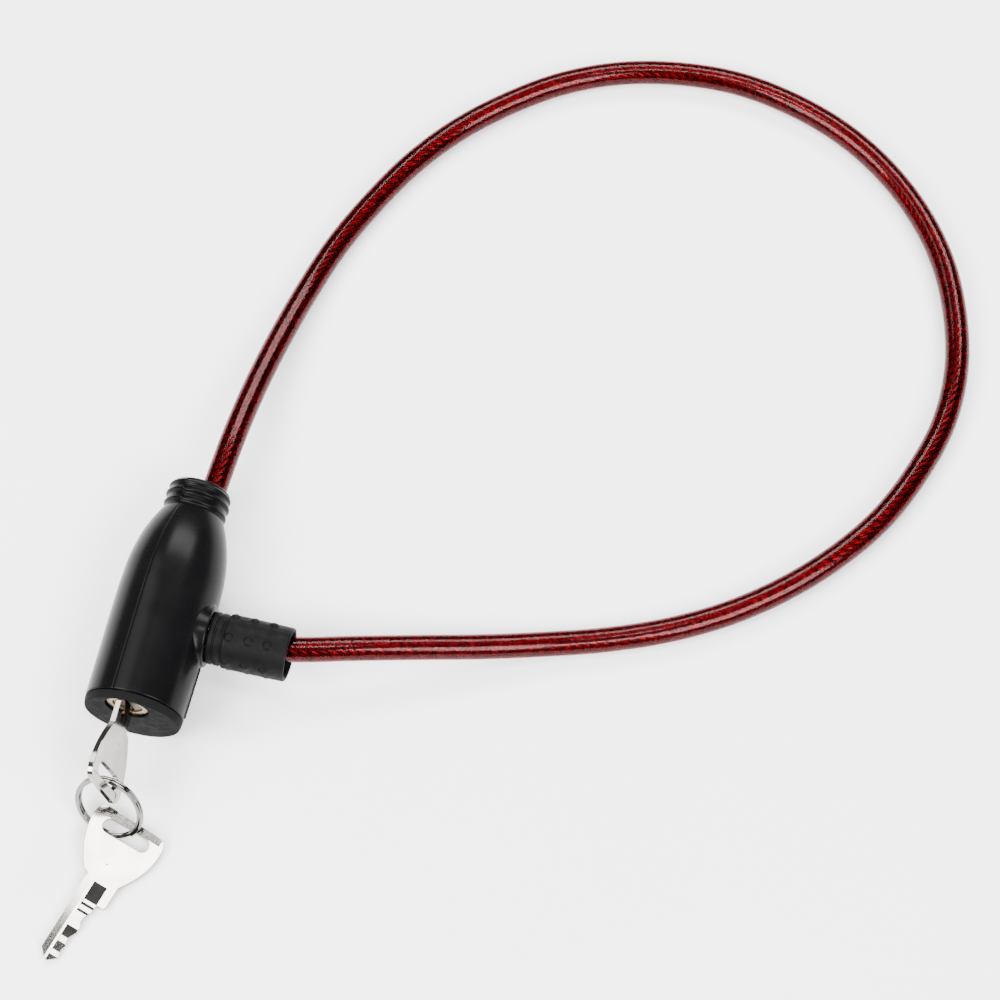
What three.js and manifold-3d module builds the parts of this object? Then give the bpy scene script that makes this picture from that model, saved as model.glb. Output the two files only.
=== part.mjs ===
// A keyed cable luggage lock lying on its side: a bottle-shaped body in two shells, a wafer cylinder in its
// end cap, a latch bolt that drops into the groove of a plug-in steel pin, a jacketed wire rope from the
// neck round to that pin, and two keys on a split ring. Millimetres, +Z up.
//
// Lock pieces are drawn about the body's axis, which runs along +Y from the keyhole face at y = 0 to the
// neck. The port and its pin lie along +X. The lock group lifts that axis above the table at z = 0.
import * as THREE from 'three';
import { mergeVertices } from 'three/addons/utils/BufferGeometryUtils.js';
import Module from 'manifold-3d';

const wasm = await Module();
wasm.setup();

// ---- driving dimensions ----
const GAP = 0.3; // between pieces that meet
const AXIS_HEIGHT = 15.85; // body axis above the table
const FACE_R = 15; // flat of the end cap
const CAP_DEPTH = 2.5; // visible part of the end cap
const SPIGOT_R = 13.2;
const SPIGOT_END = 4.5;
const BORE_R = 13.6; // inside of the shells
const NECK_BORE_R = 8.6;
const NECK_END = 78.2;
const SEAM_ANGLE = THREE.MathUtils.degToRad(20); // lean of the parting plane from upright

const KEYHOLE = { x: -0.8, z: 7.5 }; // cylinder axis, off the body's axis
const KEYHOLE_R = 6.9;
const BARREL_R = 6.6;
const BARREL_FRONT = 0.8;
const BARREL_END = 24;
const LIP_DEPTH = 1.6; // lip that keeps the plug in the barrel
const PLUG_NOSE_R = 4.6;
const PLUG_R = 5.2;
const PLUG_TAIL_R = 3.2;
const RUNNING = 0.07; // radial clearance of turning and sliding fits
const KEY_LEAN = THREE.MathUtils.degToRad(14); // keyway from upright, with the key at unlocked

const WAFER_COUNT = 4;
const WAFER_FIRST = 6.4;
const WAFER_PITCH = 3.7;
const WAFER_THICK = 1;
const WAFER_HALF_WIDTH = 2.2;
const WAFER_R = 5;

const CRANK_OFFSET = 1.7; // throw of the cam, equal to the bolt's stroke
const CRANK_R = 0.9;
const BOLT_BOTTOM = 4.3;

const PORT_Y = 31; // pin axis from the keyhole face
const PIN_R = 4;
const PIN_TIP = -6.4;
const GROOVE_HALF = 2.7;
const GROOVE_R = 2.3;
const BUSH_R = 6;
const BOSS_FACE = 16.3;
const SLEEVE_START = 16.7;
const SLEEVE_END = 41.6;
const SLEEVE_R = 8.55;
const SLEEVE_BORE_R = 7.2;

const CABLE_R = 4;
const CORE_R = 3;
const CABLE_STEPS = 72;
const FERRULE = { x: 2.9, z: -0.5, r: 6.4, from: 46.5, to: 60.2 };

const KEY_THICK = 1.8;
const KEY_STEP_Y = -6.95; // where the bow of the inserted key meets its blade
const BLADE_HALF = 3.65;
const TAB_EDGE = 6.65; // outer edge of the stop beside the blade
const TAB_END = 7.5;
const BOW_END = -20.5;
const BOW_HALF = 12.1;
const SLOT = { r: 2.2, along: -15.2, low: -5.65, high: 5.8 }; // low and high are its round ends' centres
// Cuts along the blade's edge, from the stop to the tip: [across, along]
const BITTING = [
  [3.6, 10.4], [2.45, 12.3], [2.35, 14.1], [3.25, 15.9], [3.05, 17.7], [1.85, 19.8], [1.85, 21.1],
  [2.45, 22.6], [1.85, 24.1], [1.95, 25.3], [2.5, 26.8], [-0.2, 29], [-1.8, 28.1],
];

const RING_R = 10.5; // to the middle of the wire band
const RING_BAND = { radial: 0.8, axial: 1 }; // half sizes
const RING = { at: [0.42, -27.66, 10.53], normal: [-0.183, -0.847, 0.499] };

// The second key lies on the table, propped on the ring at the slot's end of its bow.
const LOOSE_KEY = { at: [2.17, -47.75, 2.6], slopeX: -0.12, slopeY: 0.085, heading: [-0.274, -0.962] };

// The route of the cable, from inside the neck, round on the table, back into the pin's sleeve.
const CABLE_ROUTE = [
  [2.8, 47, 15.4], [3, 60, 15.25], [3.7, 81, 14.6], [4.5, 101, 13.3], [6, 121, 10.6], [8.5, 141, 7.4],
  [12, 160, 5.1], [17, 179, 4.2], [24.5, 197.5, 4.2], [33.5, 215, 4.2], [45, 231, 4.2], [59, 245, 4.2],
  [75, 257, 4.2], [93, 265.5, 4.2], [112, 270, 4.2], [132, 271, 4.2], [151.5, 267.5, 4.2],
  [170, 260.5, 4.2], [186.5, 250, 4.2], [201, 236, 4.2], [212, 220, 4.2], [219.5, 201.5, 4.2],
  [223.5, 182, 4.2], [223, 162, 4.2], [218, 143, 4.2], [210, 124.5, 4.2], [199, 108.5, 4.2],
  [185.5, 94, 4.2], [170, 81.5, 4.2], [153, 71.5, 4.2], [134.5, 63.5, 4.3], [116, 57, 5.4],
  [97.5, 50.5, 8.2], [79, 44.5, 11.4], [60, 38.4, 14.3], [43, 33.4, 15.5], [29.5, 31, 15.85],
  [24, 31, 15.85], [19.4, 31, 15.85],
];

// ---- materials ----
const finish = (color, roughness, metalness) =>
  () => new THREE.MeshStandardMaterial({ color, roughness, metalness });
const glossBlack = finish(0x1b1b1d, 0.32, 0);
const capGrey = finish(0x3c3c3e, 0.6, 0);
const rubber = finish(0x2b2b2c, 0.75, 0);
const zinc = finish(0x9a9a98, 0.45, 1);
const brass = finish(0xb59a6c, 0.35, 1);
const steel = finish(0xb4b4b2, 0.28, 1);
const springSteel = finish(0x8f8f8d, 0.35, 1);
const nickel = finish(0xd2cdc6, 0.22, 1);
const redJacket = finish(0xb01c24, 0.25, 0);

// ---- solids ----
function solid(geometry) {
  const bare = geometry.clone();
  bare.deleteAttribute('normal');
  bare.deleteAttribute('uv');
  const merged = mergeVertices(bare);
  const index = merged.index.array;
  const corners = [];
  for (let i = 0; i < index.length; i += 3) {
    const [a, b, c] = index.slice(i, i + 3);
    if (a !== b && b !== c && c !== a) corners.push(a, b, c);
  }
  return new wasm.Manifold(new wasm.Mesh({
    numProp: 3,
    vertProperties: merged.attributes.position.array,
    triVerts: Uint32Array.from(corners),
  }));
}

function toGeometry(body) {
  const mesh = body.getMesh();
  const geometry = new THREE.BufferGeometry();
  geometry.setAttribute('position', new THREE.BufferAttribute(mesh.vertProperties, 3));
  geometry.setIndex(new THREE.BufferAttribute(mesh.triVerts, 1));
  geometry.computeVertexNormals();
  return geometry;
}

const join = (first, ...rest) => rest.reduce((sum, body) => sum.add(body), first);
const cut = (first, ...rest) => rest.reduce((left, body) => left.subtract(body), first);

// A body of revolution about Y, from [radius, y] corners listed from the low end up the outside.
function turnedY(profile, segments = 40) {
  const points = profile.map(([r, y]) => new THREE.Vector2(r, y));
  return new THREE.LatheGeometry(points, segments);
}

// The same about the port's axis: [radius, x] corners.
const turnedX = (profile, segments) =>
  turnedY(profile, segments).rotateZ(-Math.PI / 2).translate(0, PORT_Y, 0);

const rod = (r, from, to) => [[0, from], [r, from], [r, to], [0, to]];
const tube = (inner, outer, from, to) =>
  [[inner, from], [outer, from], [outer, to], [inner, to], [inner, from]];

function block([x0, x1], [y0, y1], [z0, z1]) {
  return new THREE.BoxGeometry(x1 - x0, y1 - y0, z1 - z0)
    .translate((x0 + x1) / 2, (y0 + y1) / 2, (z0 + z1) / 2);
}

const atKeyhole = (geometry) => geometry.translate(KEYHOLE.x, 0, KEYHOLE.z);

function addPiece(group, name, geometry, material) {
  const mesh = new THREE.Mesh(geometry, material());
  mesh.name = name;
  group.add(mesh);
  return mesh;
}

const part = new THREE.Group();
const lock = new THREE.Group();
lock.position.z = AXIS_HEIGHT;
part.add(lock);

// Pieces that turn with the key share the cylinder's axis and the keyway's lean.
const turning = new THREE.Group();
turning.position.set(KEYHOLE.x, 0, KEYHOLE.z);
turning.rotation.y = -KEY_LEAN;
lock.add(turning);

// ---- end cap ----
function endCap() {
  const plate = turnedY([
    [0, 0], [FACE_R, 0], [FACE_R + 0.4, 0.5], [15.5, CAP_DEPTH], [SPIGOT_R, CAP_DEPTH],
    [SPIGOT_R, SPIGOT_END], [0, SPIGOT_END],
  ], 56);
  return cut(solid(plate), solid(atKeyhole(turnedY(rod(KEYHOLE_R, -1, SPIGOT_END + 1)))));
}
addPiece(lock, 'end_cap', toGeometry(endCap()), capGrey);

// ---- the two shells ----
// Bottle outline with the neck's three beads, as [radius, y].
const BOTTLE = [
  [15.5, 2.8], [15.6, 14], [15.8, 31], [15.75, 43], [15.4, 50], [14.75, 54.5], [13.8, 58.8],
  [12.6, 62.6], [11.3, 65.8], [10, 68.4], [9.6, 69.2], [10.1, 69.8], [10.3, 70.9], [10.1, 72],
  [9.55, 72.5], [9.55, 72.9], [10.2, 73.3], [10.35, 74.1], [10.1, 75], [9.55, 75.4], [9.5, 75.8],
  [9.95, 76.2], [9.95, 77.2], [9.5, NECK_END],
];
const BOTTLE_BORE = [
  [BORE_R, 2], [BORE_R, 48], [12.6, 54.5], [11.7, 58.8], [10.5, 62.6], [9.3, 65.8], [NECK_BORE_R, 68.4],
  [NECK_BORE_R, NECK_END + 1],
];
const STOP_RIB = { from: 60.6, to: 62.8, hole: 5.6 };
const SHELL_SEGMENTS = 48;

function bottle() {
  const outside = solid(turnedY([[0, 2.8], ...BOTTLE, [0, NECK_END]], SHELL_SEGMENTS));
  const boss = solid(turnedX([[0, 8], [10.8, 8], [10.3, 13], [9.6, BOSS_FACE], [0, BOSS_FACE]], 40));
  const sideRib = solid(block([14.6, 16.05], [3.5, 21], [-1.6, -0.6]));
  const inside = solid(turnedY([[0, 2], ...BOTTLE_BORE, [0, NECK_END + 1]], SHELL_SEGMENTS));
  const ribDisc = solid(turnedY(rod(11.6, STOP_RIB.from, STOP_RIB.to), 40));
  const ribHole = solid(turnedY(rod(STOP_RIB.hole, STOP_RIB.from - 1, STOP_RIB.to + 1), 32)
    .translate(FERRULE.x, 0, FERRULE.z));
  const hollow = cut(join(outside, boss, sideRib), inside);
  return cut(
    join(hollow, cut(ribDisc, ribHole)),
    solid(turnedX(rod(BUSH_R + GAP, 8, BOSS_FACE + 1), 40)),
    solid(atKeyhole(turnedY(rod(KEYHOLE_R, 0, BARREL_END + 3)))),
  );
}

// One side of the parting plane; side is 1 for the port's half and -1 for the other.
const outline = bottle();
function shellHalf(side) {
  const reach = 60;
  const half = new THREE.BoxGeometry(reach, 200, reach * 2)
    .translate(side * (reach / 2 + GAP / 2), 40, 0)
    .rotateY(-SEAM_ANGLE);
  return outline.intersect(solid(half));
}
addPiece(lock, 'shell_port_side', toGeometry(shellHalf(1)), glossBlack);
addPiece(lock, 'shell_plain_side', toGeometry(shellHalf(-1)), glossBlack);

// ---- die-cast frame inside the shells, in two blocks held by two screws ----
const FRAME_R = 13.2;
const FRAME_SPLIT = 26.6;
const FRAME_END = 40;
const SCREWS = [{ x: -5, z: -9 }, { x: 5, z: -9 }];
const SCREW_R = 1.5;

const bushSeat = () => solid(turnedX(rod(BUSH_R + GAP, 9.3, 20), 32));

function frameFront() {
  const body = solid(turnedY(rod(FRAME_R, SPIGOT_END + GAP, FRAME_SPLIT), 48));
  const threads = SCREWS.map(({ x, z }) =>
    solid(turnedY(rod(SCREW_R + GAP, 14, FRAME_SPLIT + 1), 16).translate(x, 0, z)));
  return cut(body, solid(atKeyhole(turnedY(rod(KEYHOLE_R, 0, FRAME_SPLIT + 1)))), bushSeat(), ...threads);
}

function frameRear() {
  const body = solid(turnedY(rod(FRAME_R, FRAME_SPLIT + GAP, FRAME_END), 48));
  const holes = SCREWS.map(({ x, z }) =>
    solid(turnedY(rod(SCREW_R + GAP, FRAME_SPLIT, FRAME_END + 1), 16).translate(x, 0, z)));
  return cut(
    body,
    solid(turnedX(rod(PIN_R + RUNNING, PIN_TIP - 1.6, 20), 32)),
    bushSeat(),
    solid(block([-4.7, 4.7], [FRAME_SPLIT, 34.2], [0, 20])),
    ...holes,
  );
}
addPiece(lock, 'frame_front', toGeometry(frameFront()), zinc);
addPiece(lock, 'frame_rear', toGeometry(frameRear()), zinc);

SCREWS.forEach(({ x, z }, i) => {
  const head = FRAME_END + GAP;
  const profile = [[0, 15], [SCREW_R, 15], [SCREW_R, head], [2.8, head], [2.8, head + 1.4],
    [2, head + 2.1], [1, head + 2.1], [1, head + 1], [0, head + 1]];
  addPiece(lock, `frame_screw_${i + 1}`, turnedY(profile, 20).translate(x, 0, z), steel);
});

// ---- lock cylinder ----
function barrel() {
  const body = solid(turnedY([
    [0, BARREL_FRONT], [BARREL_R - 0.3, BARREL_FRONT], [BARREL_R, BARREL_FRONT + 0.3],
    [BARREL_R, BARREL_END], [0, BARREL_END],
  ], 40));
  const nose = solid(turnedY(rod(PLUG_NOSE_R + RUNNING, 0, 10), 40));
  const bore = solid(turnedY(rod(PLUG_R + RUNNING, BARREL_FRONT + LIP_DEPTH, BARREL_END + 1), 40));
  const channelHalf = WAFER_HALF_WIDTH + 0.25;
  const channel = solid(block([-channelHalf, channelHalf], [WAFER_FIRST - 1.5, BARREL_END + 1], [-5.75, 5.75])
    .rotateY(-KEY_LEAN));
  return cut(body, nose, bore, channel);
}
addPiece(lock, 'lock_barrel', atKeyhole(toGeometry(barrel())), brass);

const KEYWAY_HALF = 1.05;
const PLUG_SHOULDER = BARREL_FRONT + LIP_DEPTH + 0.1;
const PLUG_END = BARREL_END - 0.1;
const TAIL_END = 26.2;
const CRANK_END = 30.5;
const TANG = { out: 3.9, half: 0.5 };
const SPRING = { x: 3.15, r: 0.5, wire: 0.18, low: -2.8, high: -0.75, turns: 4 };
const waferY = (i) => WAFER_FIRST + i * WAFER_PITCH;

// The crank on the plug's tail stands upright at the top of its swing while the lock is open.
function plug() {
  const body = solid(turnedY([
    [0, BARREL_FRONT + 0.4], [PLUG_NOSE_R - 0.2, BARREL_FRONT + 0.4], [PLUG_NOSE_R, BARREL_FRONT + 0.6],
    [PLUG_NOSE_R, PLUG_SHOULDER], [PLUG_R, PLUG_SHOULDER], [PLUG_R, PLUG_END],
    [PLUG_TAIL_R, PLUG_END], [PLUG_TAIL_R, TAIL_END], [0, TAIL_END],
  ], 40));
  const crank = solid(turnedY(rod(CRANK_R, TAIL_END - 0.5, CRANK_END), 20)
    .translate(0, 0, CRANK_OFFSET).rotateY(KEY_LEAN));
  const keyway = solid(block([-KEYWAY_HALF, KEYWAY_HALF], [0, 22.8], [-BLADE_HALF - 0.2, BLADE_HALF + 0.2]));
  const slots = [];
  for (let i = 0; i < WAFER_COUNT; i += 1) {
    const y = waferY(i);
    const halfSlot = WAFER_THICK / 2 + 0.08;
    slots.push(solid(block([-WAFER_HALF_WIDTH - 0.1, WAFER_HALF_WIDTH + 0.1], [y - halfSlot, y + halfSlot],
      [-6, 6])));
    slots.push(solid(block([1, TANG.out + 0.2], [y - 0.85, y + 0.85], [-3, 1.2])));
  }
  return cut(join(body, crank), keyway, ...slots);
}
addPiece(turning, 'cylinder_plug', toGeometry(plug()), brass);

function wafer(y) {
  const half = WAFER_THICK / 2;
  const disc = solid(turnedY(rod(WAFER_R, y - half, y + half), 40));
  const sides = solid(block([-WAFER_HALF_WIDTH, WAFER_HALF_WIDTH], [y - 1, y + 1], [-6, 6]));
  const tang = solid(block([1.5, TANG.out], [y - half, y + half], [-TANG.half, TANG.half]));
  const window = solid(block([-1.2, 1.2], [y - 1, y + 1], [-4.25, 4.25]));
  return cut(join(disc.intersect(sides), tang), window);
}

class Helix extends THREE.Curve {
  getPoint(t) {
    const angle = t * SPRING.turns * 2 * Math.PI;
    const z = THREE.MathUtils.lerp(SPRING.low + SPRING.wire, SPRING.high - SPRING.wire, t);
    return new THREE.Vector3(SPRING.r * Math.cos(angle), SPRING.r * Math.sin(angle), z);
  }
}

// A round section with the given number of sides, carried along a curve; a hole makes it a tube.
function swept(curve, r, sides, steps, holeR) {
  const shape = new THREE.Shape();
  shape.absarc(0, 0, r, 0, 2 * Math.PI);
  if (holeR) shape.holes.push(new THREE.Path().absarc(0, 0, holeR, 0, 2 * Math.PI, true));
  const settings = { extrudePath: curve, steps, curveSegments: sides / 2, bevelEnabled: false };
  return new THREE.ExtrudeGeometry(shape, settings);
}

for (let i = 0; i < WAFER_COUNT; i += 1) {
  const coil = swept(new Helix(), SPRING.wire, 6, SPRING.turns * 8);
  addPiece(turning, `wafer_${i + 1}`, toGeometry(wafer(waferY(i))), brass);
  addPiece(turning, `wafer_spring_${i + 1}`, coil.translate(SPRING.x, waferY(i), 0), springSteel);
}

addPiece(turning, 'plug_clip', turnedY(tube(PLUG_TAIL_R + 0.1, 6, BARREL_END + GAP, BARREL_END + 1), 32),
  springSteel);

// ---- latch bolt ----
const BOLT_Y = [28.2, 33.8];
const BOLT_TOP = 11.8;

// The crank drives the bolt through a slot that is open towards the cylinder.
function bolt() {
  const head = solid(block([-4.4, 4.4], BOLT_Y, [BOLT_BOTTOM + 2.4, BOLT_TOP]));
  const nose = solid(block([-GROOVE_HALF + 0.4, GROOVE_HALF - 0.4], BOLT_Y, [BOLT_BOTTOM, BOLT_BOTTOM + 3]));
  const crankTop = KEYHOLE.z + CRANK_OFFSET;
  const slot = solid(block(
    [KEYHOLE.x - CRANK_OFFSET - CRANK_R - 0.2, KEYHOLE.x + CRANK_R + 0.2],
    [BOLT_Y[0] - 1, CRANK_END + 0.4],
    [crankTop - CRANK_R - 0.15, crankTop + CRANK_R + 0.5],
  ));
  return cut(join(head, nose), slot);
}
addPiece(lock, 'latch_bolt', toGeometry(bolt()), steel);

// ---- port, pin and grip ----
addPiece(lock, 'port_bush', turnedX(tube(PIN_R + RUNNING, BUSH_R, 9.6, BOSS_FACE - 0.2), 32), steel);

const FLANGE_R = 6.3;
const FLANGE = [17.8, 18.9];
const CRIMP = { inner: CABLE_R + 0.35, outer: 6, from: FLANGE[1] + GAP, to: 27 };

addPiece(lock, 'lock_pin', turnedX([
  [0, PIN_TIP], [2.8, PIN_TIP], [PIN_R, PIN_TIP + 1.4], [PIN_R, -GROOVE_HALF], [GROOVE_R, -GROOVE_HALF],
  [GROOVE_R, GROOVE_HALF], [PIN_R, GROOVE_HALF], [PIN_R, FLANGE[0]], [FLANGE_R, FLANGE[0]],
  [FLANGE_R, FLANGE[1]], [0, FLANGE[1]],
], 32), steel);
addPiece(lock, 'pin_crimp', turnedX(tube(CRIMP.inner, CRIMP.outer, CRIMP.from, CRIMP.to), 32), zinc);

const BUMP_ROWS = 6;
const BUMP = { at: [23.2, 29.3, 35.3], r: 1.5, rise: 0.5, turn: 0.206 };

function gripSleeve() {
  const body = solid(turnedX([
    [PIN_R + GAP, SLEEVE_START], [8, SLEEVE_START], [8.2, 17], [8.2, 18.2], [7.85, 18.4], [7.85, 18.8],
    [8.2, 19], [8.2, 20.6], [7.8, 20.8], [7.8, 21.3], [8.4, 21.5], [SLEEVE_R, 21.9], [SLEEVE_R, 41],
    [SLEEVE_R - 0.4, SLEEVE_END], [SLEEVE_BORE_R + 0.3, SLEEVE_END], [SLEEVE_BORE_R, SLEEVE_END - 0.4],
    [SLEEVE_BORE_R, 31.4], [CRIMP.outer + GAP, 31.4], [CRIMP.outer + GAP, CRIMP.from],
    [FLANGE_R + GAP, CRIMP.from], [FLANGE_R + GAP, FLANGE[0] - GAP], [PIN_R + GAP, FLANGE[0] - GAP],
    [PIN_R + GAP, SLEEVE_START],
  ], 40));
  const bumps = [];
  for (let row = 0; row < BUMP_ROWS; row += 1) {
    const angle = (row / BUMP_ROWS) * 2 * Math.PI + BUMP.turn;
    for (const x of BUMP.at) {
      const dome = new THREE.SphereGeometry(BUMP.r, 10, 6).scale(1, 1, BUMP.rise / BUMP.r)
        .translate(x, 0, SLEEVE_R).rotateX(angle).translate(0, PORT_Y, 0);
      bumps.push(solid(dome));
    }
  }
  return join(body, ...bumps);
}
addPiece(lock, 'grip_sleeve', toGeometry(gripSleeve()), rubber);

// ---- cable ----
addPiece(lock, 'cable_ferrule', turnedY(tube(CABLE_R + 0.35, FERRULE.r, FERRULE.from, FERRULE.to), 32)
  .translate(FERRULE.x, 0, FERRULE.z), zinc);

const route = new THREE.CatmullRomCurve3(CABLE_ROUTE.map((p) => new THREE.Vector3(...p)), false, 'centripetal');
const cord = [
  addPiece(part, 'cable_jacket', swept(route, CABLE_R, 12, CABLE_STEPS, CORE_R + GAP), redJacket),
  addPiece(part, 'cable_core', swept(route, CORE_R, 10, CABLE_STEPS), steel),
];

// ---- keys ----
// Outline of a key, across it and along its blade, from the step where bow and blade meet.
function keyShape() {
  const shape = new THREE.Shape();
  shape.moveTo(-BLADE_HALF, 0.2);
  shape.lineTo(-BLADE_HALF - 2, -0.6);
  shape.bezierCurveTo(-9.4, -5.5, -BOW_HALF + 0.3, -10.5, -BOW_HALF, -16.5);
  shape.quadraticCurveTo(-BOW_HALF, BOW_END, -BOW_HALF + 3.6, BOW_END);
  shape.lineTo(BOW_HALF - 3.4, BOW_END + 0.6);
  shape.quadraticCurveTo(BOW_HALF, BOW_END + 0.8, BOW_HALF, -15.5);
  shape.bezierCurveTo(BOW_HALF, -9, 9.5, -4.6, TAB_EDGE, -0.2);
  shape.lineTo(TAB_EDGE, TAB_END - 0.8);
  shape.lineTo(TAB_EDGE - 0.6, TAB_END);
  shape.lineTo(BLADE_HALF, TAB_END);
  BITTING.forEach(([across, along]) => shape.lineTo(across, along));
  shape.lineTo(-BLADE_HALF, 26.2);

  const slot = new THREE.Path();
  slot.absarc(SLOT.high, SLOT.along, SLOT.r, -Math.PI / 2, Math.PI / 2);
  slot.absarc(SLOT.low, SLOT.along, SLOT.r, Math.PI / 2, (3 * Math.PI) / 2);
  shape.holes.push(slot);
  return shape;
}

// A key lies in the local YZ plane: its blade along +Y, the stop's side towards +Z, its cut face to +X.
function keyBlank() {
  const plate = new THREE.ExtrudeGeometry(keyShape(), { depth: KEY_THICK, bevelEnabled: false, curveSegments: 7 })
    .translate(0, 0, -KEY_THICK / 2)
    .rotateY(-Math.PI / 2);
  const face = KEY_THICK / 2;
  const recess = solid(block([face - 0.45, face + 1], [1.4, 9.6], [-0.6, BLADE_HALF + 0.3]));
  const groove = solid(block([face - 0.45, face + 1], [8, 35], [-1.7, -0.8]));
  return toGeometry(cut(solid(plate), recess, groove));
}

const insertedKey = addPiece(turning, 'key_1', keyBlank(), nickel);
insertedKey.position.y = KEY_STEP_Y;

// Sets a mesh's local axes from its X and a direction that its Y is to follow.
function orient(mesh, xAxis, yHint) {
  const x = xAxis.clone().normalize();
  const y = yHint.clone().addScaledVector(x, -yHint.dot(x)).normalize();
  mesh.quaternion.setFromRotationMatrix(new THREE.Matrix4().makeBasis(x, y, x.clone().cross(y)));
}

const looseKey = addPiece(part, 'key_2', keyBlank(), nickel);
looseKey.position.set(...LOOSE_KEY.at);
orient(looseKey, new THREE.Vector3(-LOOSE_KEY.slopeX, -LOOSE_KEY.slopeY, 1),
  new THREE.Vector3(...LOOSE_KEY.heading, 0));

// ---- split ring, from the inserted key's slot down to the table ----
const { radial, axial } = RING_BAND;
const ringProfile = [
  [RING_R - radial, -axial + 0.3], [RING_R - radial + 0.3, -axial], [RING_R + radial - 0.3, -axial],
  [RING_R + radial, -axial + 0.3], [RING_R + radial, axial - 0.3], [RING_R + radial - 0.3, axial],
  [RING_R - radial + 0.3, axial], [RING_R - radial, axial - 0.3], [RING_R - radial, -axial + 0.3],
];
const ring = addPiece(part, 'split_ring', turnedY(ringProfile, 48), nickel);
ring.position.set(...RING.at);
const ringNormal = new THREE.Vector3(...RING.normal);
orient(ring, new THREE.Vector3(ringNormal.y, -ringNormal.x, 0), ringNormal);

// ---- origin: on the table, under the middle of everything but the cable ----
part.updateMatrixWorld(true);
const footprint = new THREE.Box3();
part.traverse((mesh) => {
  if (mesh.isMesh && !cord.includes(mesh)) footprint.expandByObject(mesh, true);
});
const middle = footprint.getCenter(new THREE.Vector3());
part.position.set(-middle.x, -middle.y, -footprint.min.z);

export default part;
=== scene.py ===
# The cable luggage lock's visual model. Lock pieces are drawn in millimetres about the body's axis, which
# runs along +Y from the keyhole face to the neck; the port and its pin lie along +X.
import math

import bpy
import numpy as np
from mathutils import Matrix, Vector


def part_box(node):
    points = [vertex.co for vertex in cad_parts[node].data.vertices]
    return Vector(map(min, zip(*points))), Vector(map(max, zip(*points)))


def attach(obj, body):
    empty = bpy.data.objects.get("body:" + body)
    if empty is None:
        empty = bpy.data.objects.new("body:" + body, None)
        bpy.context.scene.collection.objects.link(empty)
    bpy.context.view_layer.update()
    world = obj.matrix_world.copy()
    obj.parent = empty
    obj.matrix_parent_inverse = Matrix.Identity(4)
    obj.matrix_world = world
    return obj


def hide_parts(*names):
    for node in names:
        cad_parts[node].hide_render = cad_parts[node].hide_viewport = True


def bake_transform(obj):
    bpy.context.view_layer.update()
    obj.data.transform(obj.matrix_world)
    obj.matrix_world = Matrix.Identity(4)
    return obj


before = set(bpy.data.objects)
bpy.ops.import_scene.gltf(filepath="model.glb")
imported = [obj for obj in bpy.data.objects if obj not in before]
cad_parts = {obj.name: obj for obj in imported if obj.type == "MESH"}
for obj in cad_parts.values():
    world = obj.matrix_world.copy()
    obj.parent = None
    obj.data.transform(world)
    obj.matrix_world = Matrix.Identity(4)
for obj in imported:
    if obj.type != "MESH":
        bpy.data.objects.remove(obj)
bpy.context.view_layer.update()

MM = 0.001
PI = math.pi


def spread(node, axis):
    """A CAD node's lowest and highest value along one axis, in millimetres."""
    low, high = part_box(node)
    return low[axis] / MM, high[axis] / MM


def middle(node, axis):
    return sum(spread(node, axis)) / 2


# ---- the frame that the pieces are drawn in ----
AXIS_HEIGHT = 15.85  # body axis above the table
ORIGIN = Vector((middle("end_cap", 0), spread("end_cap", 1)[0], middle("end_cap", 2)))
TABLE = ORIGIN - Vector((0, 0, AXIS_HEIGHT))
KEYHOLE_X = middle("lock_barrel", 0) - ORIGIN.x
KEYHOLE_Z = middle("lock_barrel", 2) - ORIGIN.z
PORT_Y = middle("port_bush", 1) - ORIGIN.y
KEY_LEAN = math.radians(14)
KEY_STEP_Y = -6.95

LOCK = Matrix.Translation(ORIGIN * MM) @ Matrix.Scale(MM, 4)
TURNING = LOCK @ Matrix.Translation((KEYHOLE_X, 0, KEYHOLE_Z)) @ Matrix.Rotation(-KEY_LEAN, 4, "Y")


def on_table(x, y, z):
    """A point given above the table, in metres in the row frame."""
    return (TABLE + Vector((x, y, z))) * MM


# ---- camera ----
camera = bpy.data.objects.new("camera", bpy.data.cameras.new("camera"))
bpy.context.scene.collection.objects.link(camera)
bpy.context.scene.camera = camera
camera.data.lens = 117
camera.data.sensor_width = 36
camera.data.clip_end = 20
camera.location = on_table(190.8, -312.6, 944.7)
sight = on_table(90.34, 104.01, 0) - camera.location
camera.rotation_euler = sight.to_track_quat("-Z", "Y").to_euler()


# ---- mesh helpers ----
def add(name, points, faces, place=LOCK, crease=35):
    """A mesh object from points drawn in a frame, smooth but for edges sharper than crease degrees."""
    mesh = bpy.data.meshes.new(name)
    moved = np.asarray(points, float) @ np.array(place.to_3x3()).T + np.array(place.translation)
    mesh.from_pydata(moved.tolist(), [], [list(face) for face in faces])
    return from_mesh(name, mesh, crease)


def from_mesh(name, mesh, crease=35):
    mesh.validate()
    mesh.shade_smooth()
    mesh.set_sharp_from_angle(angle=math.radians(crease))
    piece = bpy.data.objects.new(name, mesh)
    bpy.context.scene.collection.objects.link(piece)
    return piece


def wrapped_grid(rows, columns, around=True, ends=False):
    """Quads of a grid of points: rows run along, columns round; ends adds a cap at each end."""
    last = columns if around else columns - 1
    faces = []
    for i in range(rows - 1):
        for j in range(last):
            k = (j + 1) % columns
            faces.append((i * columns + j, i * columns + k, (i + 1) * columns + k, (i + 1) * columns + j))
    if ends:
        faces.append(tuple(range(columns))[::-1])
        faces.append(tuple((rows - 1) * columns + j for j in range(columns)))
    return faces


def closed_grid(rows, columns):
    """The same with its last row joined to its first, for a ring."""
    last = (rows - 1) * columns
    joint = [(last + j, last + (j + 1) % columns, (j + 1) % columns, j) for j in range(columns)]
    return wrapped_grid(rows, columns) + joint


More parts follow.
